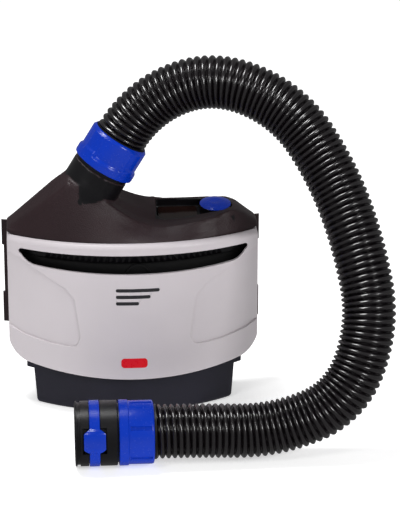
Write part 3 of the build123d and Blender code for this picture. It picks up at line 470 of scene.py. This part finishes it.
# ------------------------------------------------------------------ hose
@dataclass
class BreathingHose:
    """The corrugated hose: a helix-ribbed tube on one smooth line."""

    route: tuple = (
        (-0.00876, 0, 0.2454), (0.0096, 0, 0.2753), (0.070, -0.009, 0.301), (0.133, -0.031, 0.278),
        (0.168, -0.061, 0.226), (0.187, -0.093, 0.173), (0.197, -0.120, 0.113), (0.173, -0.138, 0.050),
        (0.112, -0.136, 0.024), (0.046, -0.139, 0.028), (0.012, -0.139, 0.028),
    )
    outer_radius: float = 0.023
    bore: float = 0.0185
    rib_pitch: float = 0.0053
    groove_depth: float = 0.0037
    crown_sharpness: float = 0.62
    rings_per_rib: int = 12
    segments: int = 40
    length: float = 0.0
    line: list[Vector] = field(default_factory=list)

    def build(self, finish: bpy.types.Material) -> bpy.types.Object:
        """Makes the hose, and keeps its line and length.

        Args:
            finish: the hose's material.

        Returns:
            The hose.
        """
        self.line = self._read_line()
        self.length = sum((b - a).length for a, b in zip(self.line, self.line[1:]))
        shape = self._straight_tube(self.length)
        self._lay_along(shape, self._frames(self.line), self.length)
        hose = object_from("corrugated_hose", shape, 80)
        dress(hose, finish)
        return place(hose, "housing", "hose_black", "breathing_hose")

    def _read_line(self) -> list[Vector]:
        """Reads the points of the smooth line that the route pulls into shape.

        Returns:
            The points, from the collar to the connector.
        """
        data = bpy.data.curves.new("hose_line", "CURVE")
        data.dimensions = "3D"
        data.resolution_u = 48
        spline = data.splines.new("NURBS")
        spline.points.add(len(self.route) - 1)
        for point, spot in zip(spline.points, self.route):
            point.co = (*spot, 1.0)
        spline.order_u = 3
        spline.use_endpoint_u = True
        guide = bpy.data.objects.new("hose_line", data)
        bpy.context.scene.collection.objects.link(guide)
        mesh = bpy.data.meshes.new_from_object(guide)
        line = [v.co.copy() for v in mesh.vertices]
        bpy.data.objects.remove(guide)
        bpy.data.meshes.remove(mesh)
        return line

    def _frames(self, line: list[Vector]) -> list[tuple[float, Vector, Vector, Vector]]:
        """Carries a frame along the line without twist.

        Args:
            line: the points of the line.

        Returns:
            For each point its distance along, place, side and up directions.
        """
        frames = []
        along = 0.0
        side = Vector((0, 1, 0))
        for i, spot in enumerate(line):
            ahead = (line[min(i + 1, len(line) - 1)] - line[max(i - 1, 0)]).normalized()
            side = (side - ahead * side.dot(ahead)).normalized()
            frames.append((along, spot, side, ahead.cross(side)))
            if i + 1 < len(line):
                along += (line[i + 1] - spot).length
        return frames

    def _straight_tube(self, length: float) -> bmesh.types.BMesh:
        """Makes the tube standing straight on the origin, ribs still to come.

        Args:
            length: its length.

        Returns:
            The tube: an outer wall of many rings and an inner wall of few.
        """
        shape = bmesh.new()
        rings = int(length / self.rib_pitch * self.rings_per_rib)
        outer = self._wall(shape, self.outer_radius, length, rings)
        inner = self._wall(shape, self.bore, length, rings // self.rings_per_rib)
        for outer_loop, inner_loop in zip(outer, inner):
            bmesh.ops.bridge_loops(shape, edges=outer_loop + inner_loop)
        bmesh.ops.recalc_face_normals(shape, faces=shape.faces)
        return shape

    def _wall(self, shape: bmesh.types.BMesh, radius: float, length: float, rings: int) -> tuple[list, list]:
        """Extrudes one wall of the tube ring by ring.

        Args:
            shape: the bmesh that takes the wall.
            radius: the wall's radius.
            length: the tube's length.
            rings: how many steps to take.

        Returns:
            The edges at its foot and at its top.
        """
        made = bmesh.ops.create_circle(shape, cap_ends=False, segments=self.segments, radius=radius)
        foot = list({e for v in made["verts"] for e in v.link_edges})
        edges = foot
        for _ in range(rings):
            grown = bmesh.ops.extrude_edge_only(shape, edges=edges)["geom"]
            bmesh.ops.translate(shape, verts=[g for g in grown if isinstance(g, bmesh.types.BMVert)],
                                vec=(0, 0, length / rings))
            edges = [g for g in grown if isinstance(g, bmesh.types.BMEdge)]
        return foot, edges

    def _rib(self, along: float, turn: float) -> float:
        """How far the outer wall lies inside its largest radius.

        Args:
            along: distance along the hose.
            turn: angle round it, as a share of a turn.

        Returns:
            The inset: nothing on a rib's crown, the groove's depth between two.
        """
        phase = abs(math.cos(math.pi * (along / self.rib_pitch - turn)))
        return self.groove_depth * (1 - phase ** self.crown_sharpness)

    def _lay_along(self, shape: bmesh.types.BMesh, frames: list, length: float) -> None:
        """Ribs the straight tube and bends it along the line.

        Args:
            shape: the straight tube.
            frames: the line's frames.
            length: the line's length.
        """
        middle = (self.outer_radius + self.bore) / 2
        index = 0
        for vert in sorted(shape.verts, key=lambda v: v.co.z):
            along = min(max(vert.co.z, 0.0), length)
            while index + 2 < len(frames) and frames[index + 1][0] < along:
                index += 1
            start, end = frames[index], frames[index + 1]
            share = (along - start[0]) / max(end[0] - start[0], 1e-9)
            spot = start[1].lerp(end[1], share)
            side = start[2].lerp(end[2], share).normalized()
            up = start[3].lerp(end[3], share).normalized()
            angle = math.atan2(vert.co.y, vert.co.x)
            radius = math.hypot(vert.co.x, vert.co.y)
            if radius > middle:
                radius -= self._rib(along, angle / (2 * math.pi))
            vert.co = spot + side * radius * math.cos(angle) + up * radius * math.sin(angle)


# ------------------------------------------------------------------ shells from the frame
STEEP = 0.55  # a normal that points up less than this is on a wall
COVER_AXIS_Y = 0.1125  # the cover is curved round this upright line
POCKET_RADIUS = 0.137
POCKET_HALF_WIDTH = 0.104
POCKET_FLOOR = 0.03


def merged_copy(node: str) -> bmesh.types.BMesh:
    """Copies a CAD node's mesh and welds its loose triangles.

    Args:
        node: the CAD node's name.

    Returns:
        The welded bmesh.
    """
    shape = bmesh.new()
    shape.from_mesh(bpy.data.objects[node].data)
    bmesh.ops.remove_doubles(shape, verts=shape.verts, dist=0.004 * MM)
    return shape


def applied(piece: bpy.types.Object) -> None:
    """Bakes a piece's modifiers into its mesh.

    Args:
        piece: the piece, which keeps none of them.
    """
    depsgraph = bpy.context.evaluated_depsgraph_get()
    mesh = bpy.data.meshes.new_from_object(piece.evaluated_get(depsgraph))
    old = piece.data
    piece.modifiers.clear()
    piece.data = mesh
    bpy.data.meshes.remove(old)


@dataclass
class Shell:
    """A CAD shell carried over with even shading across its curved faces."""

    node: str
    body: str
    slot: str
    crease: float = 28.0
    # picks the faces that get the black material as painted shade
    in_painted_shade: Callable[[bpy.types.MeshPolygon], bool] | None = None

    def build(self, finish: bpy.types.Material, painted_shade_black: bpy.types.Material) -> bpy.types.Object:
        """Makes the shell.

        Args:
            finish: its material.
            painted_shade_black: the black material, painted as shade on the faces that lie in shade.

        Returns:
            The piece.
        """
        piece = object_from(f"{self.node}_shell", merged_copy(self.node), self.crease)
        even = piece.modifiers.new("even_shading", "WEIGHTED_NORMAL")
        even.weight = 80
        even.keep_sharp = True
        dress(piece, finish)
        # Painted shade: the faces that the rule picks get the black material, standing for shade.
        if self.in_painted_shade:
            piece.data.materials.append(painted_shade_black)
            for face in piece.data.polygons:
                face.material_index = int(self.in_painted_shade(face))
        return place(piece, self.body, self.slot, self.node)


def painted_shade_on_button_wall(face: bpy.types.MeshPolygon) -> bool:
    """Whether a face of the power button stands upright in its well; these faces are painted black as painted
    shade.
    """
    return face.normal.z < STEEP


def painted_shade_in_filter_pocket(face: bpy.types.MeshPolygon) -> bool:
    """Tells the faces of the rear housing that look into the filter's pocket, which are painted black as
    painted shade.

    Args:
        face: a face of the rear housing.

    Returns:
        True inside the pocket.
    """
    spot = face.center
    reach = math.hypot(spot.x, spot.y - COVER_AXIS_Y)
    return abs(spot.x) < POCKET_HALF_WIDTH and reach > POCKET_RADIUS and spot.z > POCKET_FLOOR


@dataclass(frozen=True)
class Seat:
    """Where a round part sits: the foot of its axis and the axis' direction."""

    foot: tuple[float, float, float]
    axis: tuple[float, float, float]

    def matrix(self) -> Matrix:
        """Turns local places, with Z along the axis and X to the front, into real ones.

        Returns:
            The transform.
        """
        along = Vector(self.axis).normalized()
        front = Vector((0, -1, 0))
        turn = Matrix((front, along.cross(front), along)).transposed().to_4x4()
        return Matrix.Translation(Vector(self.foot)) @ turn


NECK_TILT = math.radians(31.6)
NECK_SEAT = Seat((-0.025, 0.0, 0.219), (math.sin(NECK_TILT), 0.0, math.cos(NECK_TILT)))
NECK_AXIS = Vector(NECK_SEAT.axis)


@dataclass
class Hood:
    """The upper housing: its loft melted into one flowing shoulder, neck and deck.

    Places are in metres; the crest's line, lift and reach are in mm.
    """

    node: str = "upper_housing"
    grain: float = 1.05 * MM
    deck_centre: Vector = field(default_factory=lambda: Vector((0.073, 0.009, 0.178)))
    deck_tilt: float = math.radians(9.0)
    rim_height: float = 0.1625
    skirt_height: float = 0.1505
    ridge_y: float = -0.022
    shoulder_x: float = -0.054
    crest_lift: float = 1.3
    crest_reach: float = 9.0
    crest_line: Sequence[tuple[float, float]] = (
        (-50, 209), (-46, 207.5), (-33, 199), (-20, 189.5), (-8, 180.5), (4, 173.5), (16, 169.5), (28, 168.3),
        (42, 170), (57, 172.5), (71, 175.8), (84, 178.5), (90, 177.5))

    def build(self, finish: bpy.types.Material, painted_shade_black: bpy.types.Material) -> bpy.types.Object:
        """Makes the hood.

        Args:
            finish: its material.
            painted_shade_black: the black material, painted as shade on the control recess and the underside,
                and on the neck, where it is partly painted shade and partly a guessed black outlet part.

        Returns:
            The piece.
        """
        hood = object_from("hood_shell", merged_copy(self.node))
        skin = hood.modifiers.new("even_skin", "REMESH")
        skin.mode = "VOXEL"
        skin.voxel_size = self.grain
        applied(hood)
        self._melt(hood, "all_over", lambda spot: 0.0 if spot.z < self.skirt_height else 1.0, 3)
        self._melt(hood, "shoulder", self._shoulder, 60)
        self._melt(hood, "ridge", self._ridge, 6)
        self._raise_crest(hood)
        self._melt(hood, "crest", self._ridge, 2)
        for face in hood.data.polygons:
            face.use_smooth = True
        hood.data.set_sharp_from_angle(angle=math.radians(50))
        dress(hood, finish)
        hood.data.materials.append(painted_shade_black)
        # Painted shade: the underside and the control recess's walls and floor get the black material; on the
        # neck it is partly painted shade, partly a guessed black outlet part.
        for face in hood.data.polygons:
            underside = face.normal.z < -0.3 and face.center.z < self.rim_height
            dark = underside or self._in_recess(face.center) or self._is_neck(face)
            face.material_index = int(dark)
        return place(hood, "housing", "dark_housing", self.node)

    def _melt(self, hood: bpy.types.Object, name: str, share: Callable[[Vector], float], turns: int) -> None:
        """Smooths the hood where a rule of place says so.

        Args:
            hood: the hood.
            name: the name of the pass.
            share: gives, for a place, how much of the smoothing it takes.
            turns: how many times to smooth.
        """
        group = hood.vertex_groups.new(name=name)
        for vert in hood.data.vertices:
            weight = share(vert.co)
            if weight > 0.01:
                group.add([vert.index], weight, "REPLACE")
        smooth = hood.modifiers.new(name, "SMOOTH")
        smooth.vertex_group = name
        smooth.factor = 0.5
        smooth.iterations = turns
        applied(hood)
        hood.vertex_groups.clear()

    def _raise_crest(self, hood: bpy.types.Object) -> None:
        """Sharpens the crest that runs from the neck along the front of the deck.

        Args:
            hood: the hood.
        """
        outward = Vector((0, -0.5, 0.86))
        (first_x, _), (last_x, _) = self.crest_line[0], self.crest_line[-1]
        for vert in hood.data.vertices:
            x, y, z = vert.co / MM
            for (x0, z0), (x1, z1) in zip(self.crest_line, self.crest_line[1:]):
                if x0 <= x < x1:
                    middle = z0 + (z1 - z0) * (x - x0) / (x1 - x0)
                    gap = math.hypot(y - self.ridge_y / MM, z - middle)
                    fade = min((x - first_x) / 12, (last_x - x) / 14, 1)
                    lift = self.crest_lift * fade * max(1 - gap / self.crest_reach, 0) * MM
                    vert.co += outward * lift * (1 - self._fixed(vert.co))

    def _is_neck(self, face: bpy.types.MeshPolygon) -> bool:
        """Tells the faces of the neck, above where it leaves the shoulder.

        Args:
            face: a face of the hood.

        Returns:
            True on the neck's round wall.
        """
        arm = face.center - Vector(NECK_SEAT.foot)
        outward = (arm - NECK_AXIS * arm.dot(NECK_AXIS)).normalized()
        along, off = self._on_neck(face.center)
        return along > -0.036 and 0.0242 < off < 0.0262 and face.normal.dot(outward) > 0.975

    def _on_neck(self, spot: Vector) -> tuple[float, float]:
        """Measures a place against the neck.

        Args:
            spot: the place.

        Returns:
            How far it is along the neck's axis from its foot, and how far off the axis.
        """
        arm = spot - Vector(NECK_SEAT.foot)
        along = arm.dot(NECK_AXIS)
        return along, (arm - NECK_AXIS * along).length

    def _on_deck(self, spot: Vector) -> Vector:
        """A place in the deck's tilted frame."""
        return Matrix.Rotation(-self.deck_tilt, 3, "X") @ (spot - self.deck_centre)

    def _in_recess(self, spot: Vector) -> bool:
        """Whether a place is on the recess's walls or floor, below the deck, which the hood paints black as
        painted shade.
        """
        u, v, w = self._on_deck(spot)
        return -0.0535 < u < 0.0155 and -0.0205 < v < 0.0155 and -0.0105 < w < -0.0008

    def _fixed(self, spot: Vector) -> float:
        """Keeps the rim, the collar's seat and the control recess crisp.

        Args:
            spot: the place.

        Returns:
            One where the shape must stay, nothing where it may melt.
        """
        rim = 1 - min(max((spot.z - self.rim_height) / 0.004, 0), 1)
        along, off = self._on_neck(spot)
        collar_seat = min(max((along + 0.012) / 0.005, 0), 1) if off < 0.035 else 0.0
        u, v, w = self._on_deck(spot)
        outside = max(-0.055 - u, u - 0.0165, v - 0.017, -0.022 - v, 0)
        recess = 1 - min(outside / 0.004, 1)
        recess = recess if w > -0.014 else 0.0
        return max(rim, collar_seat, recess)

    def _shoulder(self, spot: Vector) -> float:
        """Gives the strong smoothing to the shoulder and the back, away from ridge and neck.

        Args:
            spot: the place.

        Returns:
            How much of the smoothing it takes.
        """
        along, off = self._on_neck(spot)
        ridge = 0.0
        if spot.x > self.shoulder_x:
            ridge = 1 - min(max((abs(spot.y - self.ridge_y) - 0.003) / 0.006, 0), 1)
            ridge *= min((spot.x - self.shoulder_x) / 0.016, 1)
        neck = 1 - min(max((abs(off - 0.0262) - 0.003) / 0.005, 0), 1)
        neck *= min(max((along + 0.045) / 0.01, 0), 1)
        return max(0.0, 1 - max(self._fixed(spot), ridge, neck))

    def _ridge(self, spot: Vector) -> float:
        """Gives the light smoothing to everything that isn't fixed."""
        return 1 - self._fixed(spot)


# ------------------------------------------------------------------ round parts
def connector_seat(from_x: float) -> Seat:
    """The seat of a part on the connector's axis, which lies along X."""
    return Seat((from_x, -0.139, 0.028), (1.0, 0.0, 0.0))


def eased(amount: float) -> float:
    """Goes from nothing to one with soft ends.

    Args:
        amount: how far along, nothing to one; anything past either end stays there.

    Returns:
        The eased amount.
    """
    amount = min(max(amount, 0.0), 1.0)
    return amount * amount * (3 - 2 * amount)


def turned(profile: Sequence[tuple[float, float]], segments: int = 180) -> bmesh.types.BMesh:
    """Turns a closed profile round the local Z axis.

    Args:
        profile: points of distance along the axis and radius, in mm, going round the section.
        segments: steps of the turn.

    Returns:
        The ring.
    """
    shape = bmesh.new()
    verts = [shape.verts.new((radius * MM, 0, along * MM)) for along, radius in profile]
    edges = [shape.edges.new(pair) for pair in zip(verts, verts[1:] + verts[:1])]
    bmesh.ops.spin(shape, geom=verts + edges, cent=(0, 0, 0), axis=(0, 0, 1), dvec=(0, 0, 0),
                   angle=math.tau, steps=segments, use_merge=True)
    bmesh.ops.remove_doubles(shape, verts=shape.verts, dist=0.001 * MM)
    bmesh.ops.recalc_face_normals(shape, faces=shape.faces)
    return shape


@dataclass(frozen=True)
class Sunk:
    """A panel or lane let into a round part's outside, in degrees and mm."""

    angle: float
    half_angle: float
    start: float
    end: float
    edge: float
    depth: float
    least_radius: float = 26.0

    def holds(self, face: bmesh.types.BMFace) -> bool:
        """Tells the faces of the panel.

        Args:
            face: a face of the part.

        Returns:
            True in the panel.
        """
        spot = face.calc_center_median()
        off = (math.degrees(math.atan2(spot.y, spot.x)) - self.angle + 180) % 360 - 180
        outside = math.hypot(spot.x, spot.y) > self.least_radius * MM
        return abs(off) < self.half_angle and self.start * MM < spot.z < self.end * MM and outside

    def cut(self, shape: bmesh.types.BMesh) -> None:
        """Lets the panel into the part.

        Args:
            shape: the part, still on the local axis.
        """
        faces = [f for f in shape.faces if self.holds(f)]
        bmesh.ops.inset_region(shape, faces=faces, thickness=self.edge * MM, depth=-self.depth * MM,
                               use_even_offset=True, use_boundary=True)


@dataclass(frozen=True)
class Pressed:
    """A soft-edged panel pressed into a round part down to a radius, in degrees and mm."""

    angle: float
    half_angle: float
    start: float
    end: float
    soft: float
    floor: float

    def cut(self, shape: bmesh.types.BMesh) -> None:
        """Presses the panel in.

        Args:
            shape: the part, still on the local axis.
        """
        for vert in shape.verts:
            reach = math.hypot(vert.co.x, vert.co.y) / MM
            off = (math.degrees(math.atan2(vert.co.y, vert.co.x)) - self.angle + 180) % 360 - 180
            side = math.radians(self.half_angle - abs(off)) * reach
            end = min(vert.co.z / MM - self.start, self.end - vert.co.z / MM)
            share = eased(side / self.soft) * eased(end / self.soft)
            if reach > self.floor:
                scale = 1 - (reach - self.floor) * share / reach
                vert.co.x *= scale
                vert.co.y *= scale


@dataclass
class RoundPart:
    """A turned part with panels let into it."""

    name: str
    stands_for: str
    body: str
    slot: str
    seat: Seat
    profile: Sequence[tuple[float, float]]
    panels: Sequence[Sunk | Pressed] = ()

    def build(self, finish: bpy.types.Material) -> bpy.types.Object:
        """Makes the part.

        Args:
            finish: its material.

        Returns:
            The piece.
        """
        shape = turned(self.profile)
        for panel in self.panels:
            panel.cut(shape)
        bmesh.ops.transform(shape, matrix=self.seat.matrix(), verts=shape.verts)
        piece = object_from(self.name, shape, 42)
        dress(piece, finish)
        return place(piece, self.body, self.slot, self.stands_for)


HOSE_COLLAR = RoundPart(
    "hose_collar_grip", "hose_collar", "hose_collar", "blue_plastic", NECK_SEAT,
    profile=((0.0, 25.3), (0.0, 26.9), (0.5, 27.6), (1.5, 27.8),
             *((0.8 * n, 27.8) for n in range(3, 13)),
             (10.2, 27.75), (10.9, 27.55), (11.6, 27.2), (12.3, 26.9), (13.1, 26.7),
             *((0.8 * n, 26.7) for n in range(17, 34)),
             (26.9, 26.7), (27.4, 26.55), (27.7, 26.2), (29.0, 25.1), (30.0, 24.3), (30.1, 23.9),
             (29.4, 23.6), (28.6, 23.5), (28.45, 24.98), (0.4, 24.98)),
    panels=[Pressed(angle, 32, 6.6, 30.4, 2.8, 26.1) for angle in (-6, 84, 174, 264)],
)
COUPLING_COLLAR = RoundPart(
    "coupling_collar_grip", "coupling_collar", "coupling_collar", "blue_plastic", connector_seat(-0.0193),
    profile=((0.0, 25.3), (0.0, 27.2), (0.5, 27.8), (7.5, 27.8), (7.9, 27.4), (8.2, 26.9), (9.4, 26.9),
             (27.6, 26.9), (28.5, 26.6), (29.2, 25.8), (29.5, 24.6), (29.3, 23.7), (28.7, 23.5), (27.5, 23.5),
             (27.35, 24.98), (0.4, 24.98)),
    panels=[Sunk(angle, 4.6, 9.2, 27.8, 0.45, 1.0) for angle in range(-30, 330, 60)],
)
PAD_ANGLE = -8.4  # degrees round the connector's axis, just below its front
CONNECTOR_SLEEVE = RoundPart(
    "connector_sleeve_turned", "connector_sleeve", "housing", "black_plastic", connector_seat(-0.056),
    profile=((0.6, 21.5), (0.0, 22.1), (0.0, 26.9), (0.6, 27.5), (1.6, 27.5), (1.75, 26.1), (4.25, 26.1),
             (4.4, 27.5), (6.1, 27.5), (11.3, 27.5), (11.4, 27.4), (11.45, 24.2), (20.95, 24.2),
             (21.0, 27.4), (21.1, 27.5), (26.3, 27.5), (34.9, 27.5), (35.5, 26.9), (35.6, 24.9),
             (41.4, 24.9), (41.45, 23.4), (43.15, 23.4), (43.2, 24.9), (51.4, 24.9), (51.7, 24.6),
             (51.7, 20.8), (22.05, 20.8), (22.0, 21.5)),
    panels=[Sunk(PAD_ANGLE, 24.0, start, start + 5.2, 0.2, 2.9, 27.0) for start in (6.1, 21.1)],
)


@dataclass
class ReleaseClip:
    """The spring band of the connector, which widens into a thumb pad (mm and degrees)."""

    middle_x: float = -0.0398
    half_width: float = 4.3
    pad_half_width: float = 9.1
    pad_half_angle: float = 14.0
    flare_angle: float = 22.0
    band: tuple[float, float] = (26.0, 27.9)
    pad_rise: float = 1.35

    def build(self, finish: bpy.types.Material) -> bpy.types.Object:
        """Makes the clip.

        Args:
            finish: its material.

        Returns:
            The piece.
        """
        inner, outer = self.band
        half = self.half_width
        shape = turned(((-half, inner), (-half, outer - 0.4), (-half + 0.4, outer), (half - 0.4, outer),
                        (half, outer - 0.4), (half, inner)), 180)
        for vert in shape.verts:
            reach = math.hypot(vert.co.x, vert.co.y)
            share = self._pad_share(math.degrees(math.atan2(vert.co.y, vert.co.x)))
            wide = 1 + share * (self.pad_half_width / half - 1)
            rise = self.pad_rise * MM * min(share * 2.5, 1) / reach
            proud = rise if reach > (inner + 0.5) * MM else rise * 0.3
            vert.co = Vector((vert.co.x * (1 + proud), vert.co.y * (1 + proud), vert.co.z * wide))
        bmesh.ops.transform(shape, matrix=connector_seat(self.middle_x).matrix(), verts=shape.verts)
        piece = object_from("release_clip_band", shape, 42)
        dress(piece, finish)
        return place(piece, "release_clip", "blue_plastic", "release_clip")

    def _pad_share(self, angle: float) -> float:
        """Works out how far the band has widened into its pad.

        Args:
            angle: degrees round the connector's axis.

        Returns:
            Nothing on the band, one on the pad.
        """
        off = abs((angle - PAD_ANGLE + 180) % 360 - 180)
        return min(max((self.flare_angle - off) / (self.flare_angle - self.pad_half_angle), 0.0), 1.0)


def dress_nodes(frame: dict, finishes: dict[str, bpy.types.Material], replaced: set[str]) -> None:
    """Gives every CAD node that stays in view the finish of its slot.

    Args:
        frame: the loaded frame.
        finishes: material of each slot.
        replaced: nodes that a piece stands for.
    """
    slots = {part["node"]: part["material_slot"] for part in frame["record"]["subparts"]}
    for node, slot in slots.items():
        if node in replaced:
            continue
        piece = bpy.data.objects[node]
        for holder in piece.material_slots:
            holder.material = finishes[slot]
        LOG.info("%s: %s", node, finishes[slot].name)


def main() -> None:
    """Builds the studio, the hose and the unit, in that order."""
    logging.basicConfig(level=logging.INFO, format="%(message)s")
    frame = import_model()
    Studio().build()
    finishes = {slot: finish.build() for slot, finish in FINISHES.items()}
    hose = BreathingHose()
    tube = hose.build(finishes["hose_black"])
    # black_plastic also serves as painted shade on the faces that the hood and the shells put in shade.
    Hood().build(finishes["dark_housing"], finishes["black_plastic"])
    shells = [
        Shell("rear_housing", "housing", "dark_housing", in_painted_shade=painted_shade_in_filter_pocket),
        Shell("filter_cover", "cover", "cover_grey"),
        Shell("battery_case", "battery", "battery_grey"), Shell("battery_lid", "battery", "battery_grey"),
        Shell("belt_plate", "housing", "dark_housing"),
        Shell("power_button", "button", "blue_plastic", in_painted_shade=painted_shade_on_button_wall),
    ]
    for shell in shells:
        shell.build(finishes[shell.slot], finishes["black_plastic"])
    turned_parts = [HOSE_COLLAR, COUPLING_COLLAR, CONNECTOR_SLEEVE]
    fittings = [part.build(finishes[part.slot]) for part in turned_parts]
    fittings.append(ReleaseClip().build(finishes["blue_plastic"]))
    replaced = {shell.node for shell in shells} | {part.stands_for for part in turned_parts}
    dress_nodes(frame, finishes, replaced | {"breathing_hose", "upper_housing", "release_clip"})


if __name__ == "__main__":
    main()
